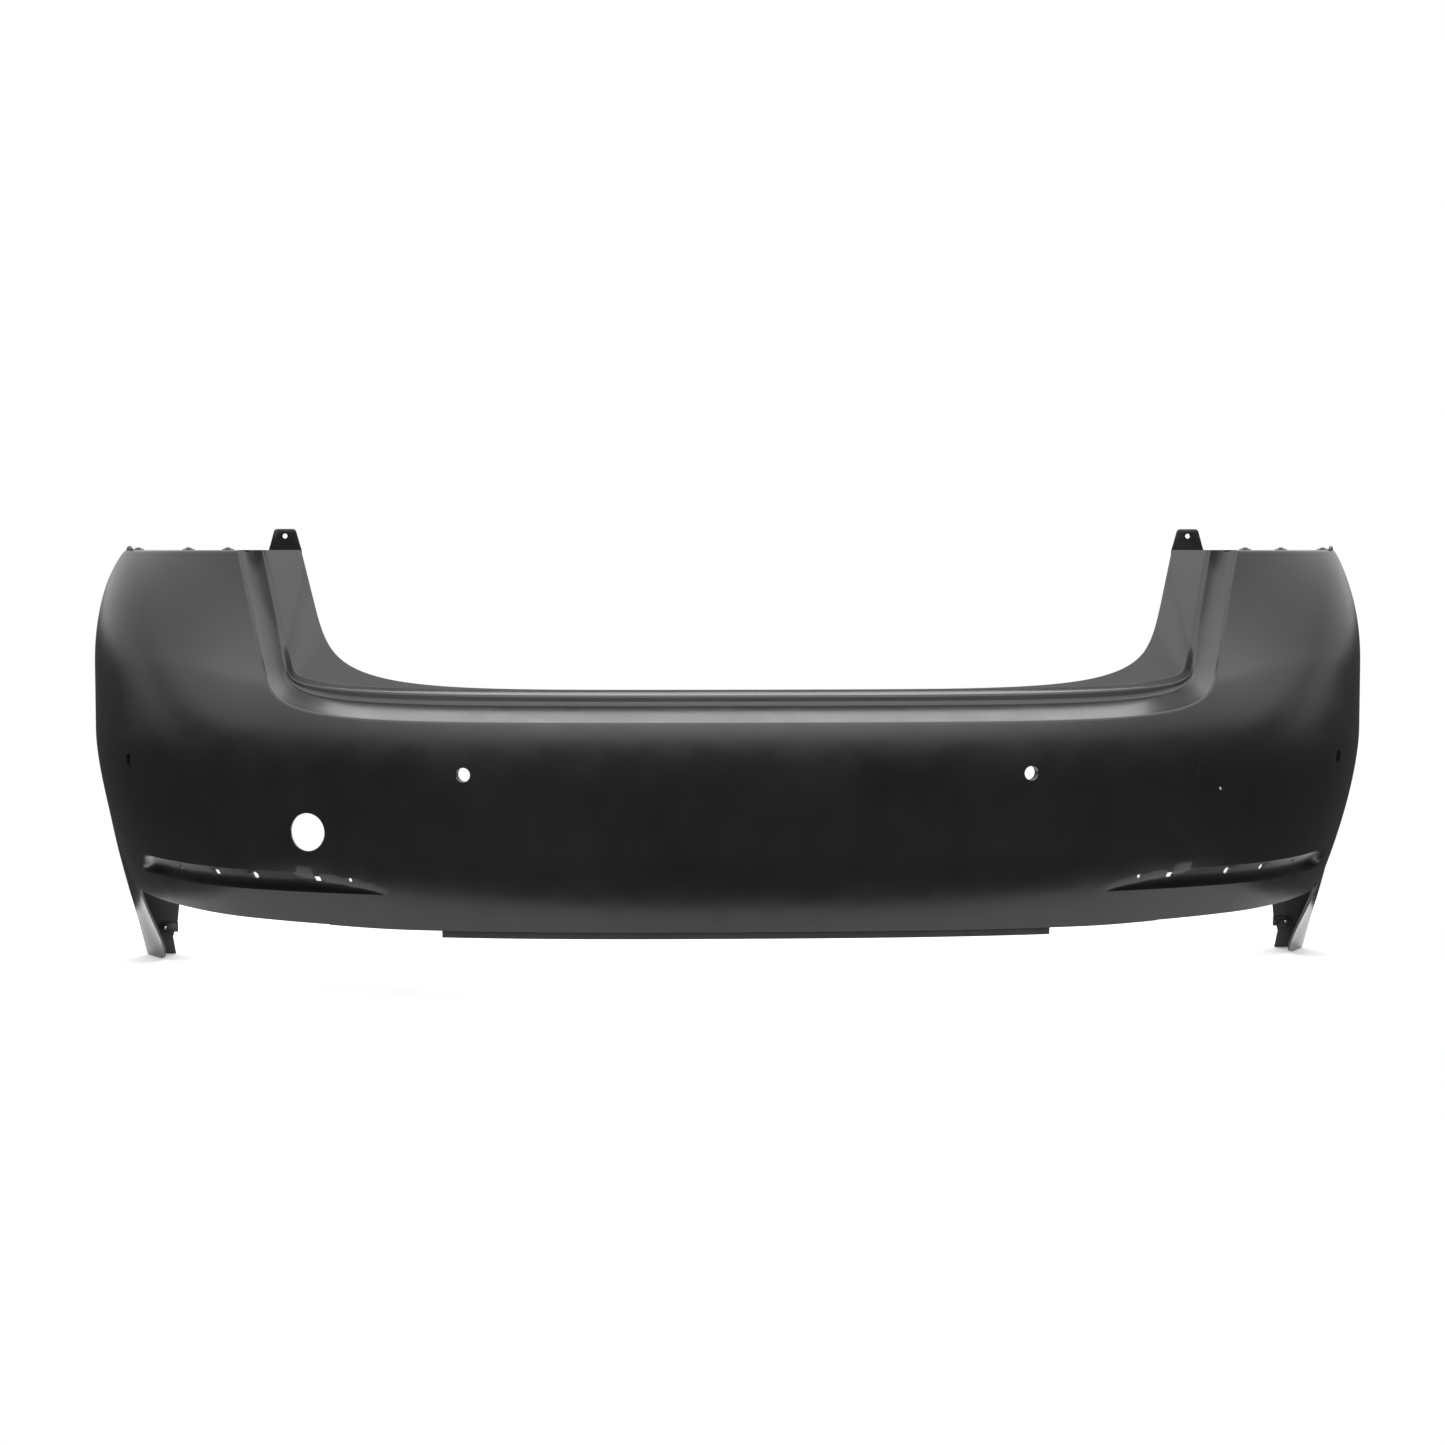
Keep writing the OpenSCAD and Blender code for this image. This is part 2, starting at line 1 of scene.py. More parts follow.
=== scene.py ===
"""Looks of a saloon car's rear bumper cover.

It is a thin primed skin with a stepped boot-lid opening, with holders, guides, rivets and nuts fixed to it.
Lengths are in millimetres until a mesh is made, which is in metres.
"""
import json
import math

import bmesh
import bpy
import numpy as np
from mathutils import Matrix, Vector


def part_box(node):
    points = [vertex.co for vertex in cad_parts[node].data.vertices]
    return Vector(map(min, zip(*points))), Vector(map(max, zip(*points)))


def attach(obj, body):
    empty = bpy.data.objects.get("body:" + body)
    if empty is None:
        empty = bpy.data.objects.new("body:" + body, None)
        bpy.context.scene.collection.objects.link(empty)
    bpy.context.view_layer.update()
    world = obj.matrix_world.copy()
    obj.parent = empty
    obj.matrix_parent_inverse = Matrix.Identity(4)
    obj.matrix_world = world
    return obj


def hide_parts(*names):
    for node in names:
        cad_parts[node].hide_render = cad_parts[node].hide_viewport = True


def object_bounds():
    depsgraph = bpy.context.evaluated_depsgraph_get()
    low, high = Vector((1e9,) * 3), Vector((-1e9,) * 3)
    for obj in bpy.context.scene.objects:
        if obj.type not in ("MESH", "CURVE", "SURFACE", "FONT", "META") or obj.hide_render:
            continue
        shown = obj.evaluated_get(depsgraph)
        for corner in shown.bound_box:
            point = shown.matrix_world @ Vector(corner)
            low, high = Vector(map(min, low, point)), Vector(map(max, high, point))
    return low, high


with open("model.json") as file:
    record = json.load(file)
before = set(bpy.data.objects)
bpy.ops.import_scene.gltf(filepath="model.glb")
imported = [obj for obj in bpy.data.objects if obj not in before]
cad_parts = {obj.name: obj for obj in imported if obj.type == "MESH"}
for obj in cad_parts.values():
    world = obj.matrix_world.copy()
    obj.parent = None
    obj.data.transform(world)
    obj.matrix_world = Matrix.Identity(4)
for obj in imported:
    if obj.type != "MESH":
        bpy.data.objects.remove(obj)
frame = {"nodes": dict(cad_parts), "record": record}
cad_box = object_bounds()

MM = 0.001
SIDES = (("left", -1), ("right", 1))

# ---- shared shape of the outer face, which the CAD model follows too

# The plan line is a quarter of a superellipse on each side. Its depth origin is the middle of the rear face
HALF_W, PLAN_D, PLAN_POWER = 908.0, 680.0, 2.65
# The frame's own origin lies this far along +Y from there
MID_DEPTH = 325.0
TOP_Z, BOTTOM_Z = 582.0, 105.0
# The bottom edge rises a little between these two distances from the middle
BOTTOM_RISE, RISE_FROM, RISE_TO = 9.0, 420.0, 700.0
WALL = 3.0
# Between these two distances from the middle the rear's upright profile turns into the side's
SIDE_FROM, SIDE_TO = 640.0, 880.0
# Rear profile: a lean above one height, an easing slope above the shoulder, and a tuck under a lower height
LEAN_Z, LEAN_SPAN, LEAN_DEPTH, LEAN_POWER = 290.0, 135.0, 25.8, 2.24
SHOULDER_Z, SHOULDER_RISE, SHOULDER_FROM, SHOULDER_TO = 413.0, 28.0, 600.0, 800.0
SHOULDER_SLOPE, SHOULDER_EASE = 0.53, 0.0011
TUCK_Z, TUCK_SPAN, TUCK_DEPTH = 200.0, 95.0, 18.0
# Side profile: a lean at the top and a tuck below, which is weaker towards the arch
SIDE_LEAN_Z, SIDE_LEAN_SPAN, SIDE_LEAN_DEPTH, SIDE_LEAN_POWER = 420.0, 162.0, 37.0, 2.2
SIDE_TUCK_Z, SIDE_TUCK_SPAN, SIDE_TUCK_DEPTH = 330.0, 317.0, 95.0
SIDE_TUCK_LOSS, SIDE_TUCK_FROM, SIDE_TUCK_TO = 0.45, 450.0, 600.0
TUCK_POWER = 1.6
ARCH_R, ARCH_Z, ARCH_Y, ARCH_TOP = 350.0, 110.0, 900.0, 355.0
# The arch flange's width, and what it gains and loses again between two pairs of heights
ARCH_FLANGE, ARCH_EXTRA = 42.0, 24.0
ARCH_GAIN, ARCH_LOSS = (15.0, 75.0), (110.0, 200.0)
TOP_FLANGE = 24.0
RECESS_Z, RECESS_H, RECESS_DEPTH = 150.0, 25.0, 14.0
RECESS_POINT_A, RECESS_FULL_A, RECESS_END_A, RECESS_END_SPAN = np.radians((28.3, 36.0, 59.0, 3.0))
RECESS_POINT_POWER, RECESS_FADE_POWER = 0.6, 0.7
# How far above its lower edge the recess is already at full depth, and the least share of its full height
RECESS_LIP, RECESS_LEAST = 0.1, 0.2
# Radius of every rounded edge between the face and what folds back from it
EDGE_R = 2.6

# Outlines round the opening: x at the top, x at the leg's foot, height of that foot, middle height, power
RIDGE = (656.0, 630.0, 486.0, 368.5, 7.5)
STEP_FOOT = (632.0, 600.0, 460.0, 386.5, 6.7)
STEP_HEAD = (630.5, 592.0, 436.0, 399.0, 4.7)
SHELF_BACK = (627.0, 588.0, 438.0, 402.5, 4.7)
OPENING_EDGE = (581.0, 575.0, 561.0, 404.5, 6.2)
# How far each outline after the ridge lies behind the continued face, in the middle and beside the opening
SETBACKS = ((56.0, 58.0), (53.0, 60.0), (84.0, 66.0), (84.0, 95.0))
# The heights between which the first turns into the second
SETBACK_FROM, SETBACK_TO = 402.0, 470.0
# Reach of the roundings at the three inner outlines, and the rows on the four strips between all five
STRIP_TANGENTS, STRIP_STEPS = (5.0, 3.0, 2.0), (4, 1, 3, 2)

# A wing's foot starts this far from the middle, and drops to the floor between these shares of its width
WING_FOOT_X, TOE_FROM, TOE_TO = 540.0, 0.72, 0.9
# Its head falls to the arch's top from this share on
WING_FALL_FROM, WING_FALL_POWER = 0.5, 1.3

MID_COLS, WING_COLS = 150, 64
LOW_ROWS, RISE_ROWS, LEG_ROWS = 6, 50, 26
RECESS_LEVELS = (0.0, 0.5, 1.2, 2.4, 4.2, 7.0, 11.0, 16.0, 21.0, RECESS_H)


def pos(v):
    return np.maximum(v, 0.0)


def ease(a, b, v):
    """A smooth step from 0 at a to 1 at b."""
    t = np.clip((v - a) / (b - a), 0, 1)
    return t * t * (3 - 2 * t)


def mix(a, b, t):
    return a + (b - a) * t


def shares(a):
    """Ratio across and ratio along the plan line at angle a."""
    s, c = np.sin(a), np.cos(a)
    r = (np.abs(s) ** PLAN_POWER + np.abs(c) ** PLAN_POWER) ** (-1 / PLAN_POWER)
    return s * r, c * r


def outward(a):
    """The plan line's unit normal at angle a, pointing out of the cover."""
    across, along = shares(a)
    x = np.sign(across) * np.abs(across) ** (PLAN_POWER - 1) / HALF_W
    y = -np.abs(along) ** (PLAN_POWER - 1) / PLAN_D
    length = np.hypot(x, y)
    return x / length, y / length


def inset(x, y, z):
    """How far the outer face stands inside the plan line."""
    shoulder = SHOULDER_Z + SHOULDER_RISE * ease(SHOULDER_FROM, SHOULDER_TO, np.abs(x))
    above = pos(z - shoulder)
    rear = (LEAN_DEPTH * (pos(np.minimum(z, shoulder) - LEAN_Z) / LEAN_SPAN) ** LEAN_POWER
            + SHOULDER_SLOPE * above - SHOULDER_EASE * above ** 2
            + TUCK_DEPTH * (pos(TUCK_Z - z) / TUCK_SPAN) ** TUCK_POWER)
    side = (SIDE_LEAN_DEPTH * (pos(z - SIDE_LEAN_Z) / SIDE_LEAN_SPAN) ** SIDE_LEAN_POWER
            + SIDE_TUCK_DEPTH * (pos(SIDE_TUCK_Z - z) / SIDE_TUCK_SPAN) ** TUCK_POWER
            * (1 - SIDE_TUCK_LOSS * ease(SIDE_TUCK_FROM, SIDE_TUCK_TO, y)))
    return mix(rear, side, ease(SIDE_FROM, SIDE_TO, np.abs(x)))


def face(a, z, depth=0.0):
    """Points on the outer face at plan angle a and height z, pushed inwards by depth."""
    a, z, depth = np.broadcast_arrays(np.asarray(a, float), np.asarray(z, float), np.asarray(depth, float))
    across, along = shares(a)
    x, y = HALF_W * across, PLAN_D * (1 - along)
    ox, oy = outward(a)
    back = inset(x, y, z) + depth
    return np.stack((x - back * ox, y - back * oy - MID_DEPTH, z), axis=-1)


def angle_at_x(x):
    """Plan angle at which the plan line has the given x."""
    u = np.clip(np.abs(x) / HALF_W, 0, 1)
    return np.sign(x) * np.arctan2(u, (1 - u ** PLAN_POWER) ** (1 / PLAN_POWER))


def angle_at_y(y):
    """Plan angle at which the plan line lies y behind the middle of the rear face."""
    v = (PLAN_D - y) / PLAN_D
    return np.arctan2((1 - v ** PLAN_POWER) ** (1 / PLAN_POWER), v)


def angle_for(x, z):
    """Plan angle at which the outer face has the given x, by repeated correction."""
    a = angle_at_x(x)
    for _ in range(6):
        across, _along = shares(a)
        a = angle_at_x(HALF_W * across + x - face(a, z)[..., 0])
    return a


def heading(a):
    """The turn about Z that points local -Y out of the face at plan angle a."""
    ox, oy = outward(a)
    return math.atan2(float(ox), -float(oy))


def leg_x(outline, z):
    """How far from the middle an outline's leg stands at height z."""
    return mix(outline[0], outline[1], (TOP_Z - z) / (TOP_Z - outline[2]))


def corner_z(outline, s):
    """Height of an outline s of the way across the middle: level, then rising in a rounded corner."""
    lift = 1 - pos(1 - np.abs(s) ** outline[4]) ** (1 / outline[4])
    return outline[3] + (outline[2] - outline[3]) * lift


def recess_at(a, z):
    """Depth of the reflector recess: a sharp lower edge, fading out upwards."""
    a = np.abs(a)
    point = (pos(a - RECESS_POINT_A) / (RECESS_FULL_A - RECESS_POINT_A)) ** RECESS_POINT_POWER
    end = np.sqrt(pos(1 - (pos(a - RECESS_END_A + RECESS_END_SPAN) / RECESS_END_SPAN) ** 2))
    share = np.minimum(point, 1) * end
    fade = pos(1 - (z - RECESS_Z) / (RECESS_H * np.maximum(RECESS_LEAST, share))) ** RECESS_FADE_POWER
    return np.where(z > RECESS_Z + RECESS_LIP, RECESS_DEPTH * share * fade, 0.0)


# ---- grid of the outer skin: rows climb from the bottom edge, columns run from arch to arch

def arch_edge_y(z):
    """Where the wheel arch's edge lies at height z, measured back from the middle of the rear face."""
    return ARCH_Y - np.sqrt(ARCH_R ** 2 - (np.minimum(z, ARCH_TOP) - ARCH_Z) ** 2)


def middle_foot(x):
    return BOTTOM_Z + BOTTOM_RISE * ease(RISE_FROM, RISE_TO, np.abs(x))


def wing_foot(q):
    """Height of a wing's lower edge, q of the way from the opening to the arch."""
    return middle_foot(mix(WING_FOOT_X, HALF_W, q)) * (1 - ease(TOE_FROM, TOE_TO, q))


def wing_head(q):
    fallen = pos(q - WING_FALL_FROM) / (1 - WING_FALL_FROM)
    return TOP_Z - (TOP_Z - ARCH_TOP) * fallen ** WING_FALL_POWER


def wing_angle(q, z):
    """Plan angle of a point of a wing, q of the way from the opening to the arch."""
    return mix(angle_for(leg_x(RIDGE, z), z), angle_at_y(arch_edge_y(z)), q)


def closing_steps(count):
    """Shares from just above 0 up to 1, closer together near 1."""
    return [math.sin(math.pi / 2 * r / count) for r in range(1, count + 1)]


def row_heights(foot, head, open_share, full):
    """Heights of every row of a column, from its foot to its head."""
    recess_top = RECESS_Z + RECESS_H
    low = [mix(foot, RECESS_Z, r / LOW_ROWS) for r in range(LOW_ROWS)]
    recess = [RECESS_Z + level + 0 * foot for level in RECESS_LEVELS]
    climb = [mix(recess_top, head, open_share * step) for step in closing_steps(RISE_ROWS)]
    leg = [mix(recess_top, head, mix(open_share, 1, step)) for step in closing_steps(LEG_ROWS)]
    return np.array(low + recess + climb + (leg if full else []))


OPEN_SHARE = (RIDGE[2] - RECESS_Z - RECESS_H) / (TOP_Z - RECESS_Z - RECESS_H)
OPEN_ROW = LOW_ROWS + len(RECESS_LEVELS) + RISE_ROWS - 1


def spaced_both_ends(count):
    return 0.5 - 0.5 * np.cos(np.pi * np.arange(count + 1) / count)


def wing_grid(side):
    """Plan angle and height of a wing's points, columns from the opening to the arch."""
    q = spaced_both_ends(WING_COLS)
    z = row_heights(wing_foot(q), wing_head(q), OPEN_SHARE, True)
    return wing_angle(q, z) * side, z


def middle_grid():
    """Plan angle, height and share of the way across of the middle's points."""
    s = np.sin(np.pi * (np.arange(MID_COLS + 1) / MID_COLS - 0.5))
    z = row_heights(middle_foot(s * leg_x(RIDGE, BOTTOM_Z)), corner_z(RIDGE, s), 1.0, False)
    return angle_for(s * leg_x(RIDGE, z), z), z, s


def distance_to(points, line):
    """Distance from each point to a line through 3-D points."""
    flat = points.reshape(-1, 3)
    best = np.full(len(flat), 1e9)
    for a, b in zip(line[:-1], line[1:]):
        d = b - a
        t = np.clip((flat - a) @ d / max(d @ d, 1e-12), 0, 1)
        best = np.minimum(best, ((flat - a - t[:, None] * d) ** 2).sum(1))
    return np.sqrt(best).reshape(points.shape[:-1])


def rolled(distance):
    """How deep a rounded edge has sunk at this distance from it."""
    near = pos(EDGE_R - distance)
    return EDGE_R - np.sqrt(pos(EDGE_R ** 2 - near ** 2))


def face_points(a, z, edges):
    """Points on the outer face, rounded off along the given edges and sunk in at the recess."""
    p = face(a, z)
    depth = np.max([rolled(distance_to(p, edge)) for edge in edges], axis=0)
    return face(a, z, np.maximum(depth, recess_at(a, z)))


def rounded(corners, tangents, steps, arc=4):
    """A profile through corners, each an array of points, with every inner corner rounded off."""
    rows = [corners[0]]
    for j in range(1, len(corners)):
        start, end, last = rows[-1], corners[j], j == len(corners) - 1
        if not last:
            into, out = corners[j - 1] - corners[j], corners[j + 1] - corners[j]
            lengths = np.linalg.norm(into, axis=-1), np.linalg.norm(out, axis=-1)
            reach = np.minimum(tangents[j - 1], 0.45 * np.minimum(*lengths))[..., None]
            end = corners[j] + into / lengths[0][..., None] * reach
            after = corners[j] + out / lengths[1][..., None] * reach
        rows += [mix(start, end, i / steps[j - 1]) for i in range(1, steps[j - 1] + 1)]
        if not last:
            for w in np.arange(1, arc + 1) / arc:
                rows.append((1 - w) ** 2 * end + 2 * w * (1 - w) * corners[j] + w * w * after)
    return rows


def opening_strip(ridge_points, s, fall):
    """Ledge, riser, shelf and seal flange.

    Each station lies s of the way across the middle or, where s is -1 or 1, has fallen that share of a leg.
    """
    corners = [ridge_points]
    for outline, (mid, beside) in zip((STEP_FOOT, STEP_HEAD, SHELF_BACK, OPENING_EDGE), SETBACKS):
        z = np.where(np.abs(s) >= 1, mix(TOP_Z, outline[2], fall), corner_z(outline, s))
        x = s * leg_x(outline, z)
        y = face(angle_for(x, z), z)[:, 1] + mix(mid, beside, ease(SETBACK_FROM, SETBACK_TO, z))
        corners.append(np.stack((x, y, z), axis=-1))
    return rounded(corners, STRIP_TANGENTS, STRIP_STEPS)


def arch_width(z):
    """Width of the arch flange at height z, which is wider across the toe."""
    return ARCH_FLANGE + ARCH_EXTRA * ease(*ARCH_GAIN, z) * (1 - ease(*ARCH_LOSS, z))


# ---- mesh tools

# Lengths of the drills, each short enough to pass one wall only
FLANGE_DRILL_LENGTH, SHORT_DRILL_LENGTH, LONG_DRILL_LENGTH = 12.0, 20.0, 60.0


def add_grid(bm, rows, flip):
    """Adds a grid of points to the mesh, in metres, joined by quads."""
    made = [[bm.verts.new(Vector(p) * MM) for p in row] for row in rows]
    for low, high in zip(made[:-1], made[1:]):
        for c in range(len(low) - 1):
            quad = (low[c], low[c + 1], high[c + 1], high[c])
            bm.faces.new(quad[::-1] if flip else quad)


def new_object(name, bm):
    mesh = bpy.data.meshes.new(name)
    bm.to_mesh(mesh)
    bm.free()
    made = bpy.data.objects.new(name, mesh)
    bpy.context.scene.collection.objects.link(made)
    return made


def apply_modifiers(obj):
    bpy.context.view_layer.update()
    graph = bpy.context.evaluated_depsgraph_get()
    mesh = bpy.data.meshes.new_from_object(obj.evaluated_get(graph), depsgraph=graph)
    obj.modifiers.clear()
    obj.data = mesh


def boolean(obj, other, operation):
    """Joins other to obj or cuts it from obj, and removes it."""
    step = obj.modifiers.new(operation, "BOOLEAN")
    step.operation = operation
    step.solver = "MANIFOLD"
    step.object = other
    apply_modifiers(obj)
    bpy.data.objects.remove(other)


def shade(obj, sharp_degrees=35):
    obj.data.shade_smooth()
    obj.data.set_sharp_from_angle(angle=math.radians(sharp_degrees))


def place(point, turn=0.0):
    """A place at a point in millimetres, turned about Z so that local -Y points out of the face."""
    return Matrix.Translation(Vector(point) * MM) @ Matrix.Rotation(turn, 4, "Z")


def on_face(degrees, z):
    a = math.radians(degrees)
    return place(face(a, z), heading(a))


FACING = Matrix.Rotation(math.pi / 2, 4, "X")


def add_drill(bm, where, radius, length=LONG_DRILL_LENGTH, segments=64):
    """A cylinder along local Z, centred on a place."""
    bmesh.ops.create_cone(bm, cap_ends=True, segments=segments, radius1=radius * MM, radius2=radius * MM,
                          depth=length * MM, matrix=where)


def add_slot(bm, where, width, height, length=LONG_DRILL_LENGTH):
    """A box centred on a place, with its length along local Y."""
    size = Matrix.Diagonal((width * MM, length * MM, height * MM, 1))
    bmesh.ops.create_cube(bm, size=1, matrix=where @ size)


def plate(name, outline, thickness, where, bevel):
    """A flat plate from an outline of [x, z] points, with rounded edges."""
    bm = bmesh.new()
    verts = [bm.verts.new((x * MM, -thickness / 2 * MM, z * MM)) for x, z in outline]
    front = bm.faces.new(verts)
    grown = bmesh.ops.extrude_face_region(bm, geom=[front])
    moved = [v for v in grown["geom"] if isinstance(v, bmesh.types.BMVert)]
    bmesh.ops.translate(bm, verts=moved, vec=(0, thickness * MM, 0))
    bmesh.ops.recalc_face_normals(bm, faces=bm.faces)
    rims = [e for e in bm.edges if abs((e.verts[0].co - e.verts[1].co).y) < 1e-7]
    bmesh.ops.bevel(bm, geom=rims, offset=bevel * MM, segments=3, profile=0.5, affect="EDGES")
    bm.transform(where)
    return new_object(name, bm)


def arc_points(cx, cz, radius, start, end, count=7):
    turns = np.radians(np.linspace(start, end, count))
    return [(cx + radius * math.cos(t), cz + radius * math.sin(t)) for t in turns]


def add_lathe(bm, profile, segments=48, start=0.0, end=360.0):
    """Turns a closed profile of [radius, z] points about Z, all the way round or over a sector."""
    whole = end - start >= 360
    turns = np.radians(np.linspace(start, end, segments + 1))[:segments if whole else None]
    rings = [[bm.verts.new((r * math.cos(t) * MM, r * math.sin(t) * MM, z * MM)) for r, z in profile]
             for t in turns]
    for i in range(len(rings) if whole else len(rings) - 1):
        here, there = rings[i], rings[(i + 1) % len(rings)]
        for j in range(len(profile)):
            k = (j + 1) % len(profile)
            bm.faces.new((here[j], there[j], there[k], here[k]))
    if not whole:
        bm.faces.new(rings[0])
        bm.faces.new(rings[-1][::-1])


# ---- scene pieces

# Plan angles in degrees, heights and radii of the holes
# The reflector's round holes are (angle, radius), and its slots are (angle, width, height)
TOW_A, TOW_Z, TOW_R = -34.5, 227.0, 24.0
PILOT_A, PILOT_Z, PILOT_R = 38.5, 276.0, 2.0
SENSOR_A, SENSOR_Z, SENSOR_R = (22.0, 56.4), 303.0, 9.0
REFLECTOR_Z = 168.0
REFLECTOR_ROUND = ((31.0, 2.5), (39.7, 4.5), (49.5, 3.0))
REFLECTOR_SLOTS = ((33.8, 8.0, 6.0), (44.0, 10.0, 6.0))
RIVET_ROWS = ("rear", "middle", "front")
FLANGE_HOLE_R = 4.0
EAR_X, EAR_W, EAR_TOP_W, EAR_H, EAR_CORNER = 602.0, 44.0, 30.0, 28.0, 5.0
EAR_HOLE_Z, EAR_HOLE_R, EAR_BEVEL = 600.5, 3.3, 0.8
# How far the ear reaches down into the skin, and its edge as [distance in from the full half width, height]
EAR_ROOT = 14.0
EAR_EDGE = ((0.0, -3.0), (0.3, 0.0), (1.2, 3.0), (2.4, 7.0))
LOBE_Q, LOBE_W, LOBE_H, LOBE_ROOT, LOBE_BEVEL = 0.45, 32.0, 6.0, 8.0, 1.2
# Depths of the rows on the top and arch flanges, from the rounded edge inwards
FLANGE_DEPTHS = (EDGE_R, 6.0, 12.0, 18.0, TOP_FLANGE)


def skin_surface():
    """The whole skin's outer surface as one open mesh, and the y of its seal flange's edge beside an ear."""
    mid_a, mid_z, s = middle_grid()
    wings = {side: wing_grid(side) for _name, side in SIDES}
    left_a, right_a = (wings[side][0][OPEN_ROW:, 0] for side in (-1, 1))
    leg_z = wings[1][1][OPEN_ROW:, 0]
    ridge_a = np.concatenate((left_a[:0:-1], mid_a[-1], right_a[1:]))
    ridge_z = np.concatenate((leg_z[:0:-1], mid_z[-1], leg_z[1:]))
    fall = np.minimum(1, (TOP_Z - ridge_z) / (TOP_Z - RIDGE[2]))
    stations = np.concatenate((-np.ones(LEG_ROWS), s, np.ones(LEG_ROWS)))
    ridge = face(ridge_a, ridge_z)
    bm = bmesh.new()
    add_grid(bm, face_points(mid_a, mid_z, [ridge]), False)
    # The rounding of the ridge ends EDGE_R deep, and the ledge starts there
    strip = opening_strip(face(ridge_a, ridge_z, EDGE_R), stations, fall)
    add_grid(bm, strip, False)
    for _name, side in SIDES:
        a, z = wings[side]
        edges = [ridge, face(a[-1], z[-1]), face(a[:, -1], z[:, -1])]
        flip = side < 0
        add_grid(bm, face_points(a, z, edges), flip)
        add_grid(bm, [face(a[-1], z[-1], d) for d in FLANGE_DEPTHS], flip)
        arch_depths = (*FLANGE_DEPTHS, arch_width(z[:, -1]))
        add_grid(bm, [face(a[:, -1], z[:, -1], d) for d in arch_depths], not flip)
    bmesh.ops.remove_doubles(bm, verts=bm.verts, dist=0.02 * MM)
    return new_object("cover_skin_primed", bm), strip[-1][0][1]


def wing_place(side, q, z, depth):
    """A place on a wing's face, q of the way from the opening to the arch."""
    a = float(wing_angle(q, z)) * side
    return place(face(a, z, depth), heading(a))


def skin_holes():
    """Everything that is cut out of the skin's face, as one mesh."""
    bm = bmesh.new()
    for _name, side in SIDES:
        for degrees in SENSOR_A:
            add_drill(bm, on_face(side * degrees, SENSOR_Z) @ FACING, SENSOR_R)
        for degrees, radius in REFLECTOR_ROUND:
            add_drill(bm, on_face(side * degrees, REFLECTOR_Z) @ FACING, radius)
        for degrees, width, height in REFLECTOR_SLOTS:
            add_slot(bm, on_face(side * degrees, REFLECTOR_Z), width, height)
    add_drill(bm, on_face(TOW_A, TOW_Z) @ FACING, TOW_R, segments=96)
    add_drill(bm, on_face(PILOT_A, PILOT_Z) @ FACING, PILOT_R)
    return new_object("skin_holes", bm)


def flange_holes(ear_y):
    """The holes in the ears and in the top and arch flanges, as one mesh."""
    bm = bmesh.new()
    for name, side in SIDES:
        add_drill(bm, place((side * EAR_X, ear_y, EAR_HOLE_Z)) @ FACING, EAR_HOLE_R, SHORT_DRILL_LENGTH)
        for row in RIVET_ROWS:
            add_drill(bm, rivet_seat(row, name), FLANGE_HOLE_R, FLANGE_DRILL_LENGTH)
        for mount in frame["record"]["mounts"]:
            if mount["name"].startswith("arch_screw") and mount["name"].endswith(name):
                turn = Vector(mount["axis"]).to_track_quat("Z", "Y").to_matrix().to_4x4()
                add_drill(bm, Matrix.Translation(mount["pos_m"]) @ turn, FLANGE_HOLE_R, SHORT_DRILL_LENGTH)
    return new_object("flange_holes", bm)


def ear_outline():
    """A tab that tapers upwards from its root to two rounded shoulders."""
    half, top, r = EAR_W / 2, EAR_TOP_W / 2, EAR_CORNER
    right = [(half, -EAR_ROOT)] + [(half - x, z) for x, z in EAR_EDGE]
    right += arc_points(top - r, EAR_H - r, r, 10, 90)
    return right + [(-x, z) for x, z in reversed(right)]


def lobe_outline():
    """A low dome on a straight root."""
    dome = [(LOBE_W / 2 * math.cos(t), LOBE_H * math.sin(t)) for t in np.linspace(0, math.pi, 17)]
    return dome + [(-LOBE_W / 2, -LOBE_ROOT), (LOBE_W / 2, -LOBE_ROOT)]


def add_wall(skin):
    """Thickens the surface inwards and gives the new sides the unpainted finish."""
    wall = skin.modifiers.new("wall", "SOLIDIFY")
    wall.thickness = WALL * MM
    wall.offset = -1
    wall.use_even_offset = True
    wall.thickness_clamp = 1.5
    wall.use_quality_normals = True
    wall.material_offset = 1
    wall.material_offset_rim = 1
    skin.data.materials.append(MATERIALS["primer"])
    skin.data.materials.append(MATERIALS["raw"])
    apply_modifiers(skin)


def cover_skin():
    """The whole moulding: surface, wall, an ear and a small lobe on each side's top edge, and every hole."""
    skin, ear_y = skin_surface()
    add_wall(skin)
    for name, side in SIDES:
        ear_place = place((side * EAR_X, ear_y + WALL / 2, TOP_Z))
        boolean(skin, plate(f"ear_{name}", ear_outline(), WALL, ear_place, EAR_BEVEL), "UNION")
        lobe_place = wing_place(side, LOBE_Q, TOP_Z, WALL / 2)
        boolean(skin, plate(f"lobe_{name}", lobe_outline(), WALL, lobe_place, LOBE_BEVEL), "UNION")
    boolean(skin, skin_holes(), "DIFFERENCE")
    boolean(skin, flange_holes(ear_y), "DIFFERENCE")
    shade(skin)
    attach(skin, "cover")
    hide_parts("cover_skin")


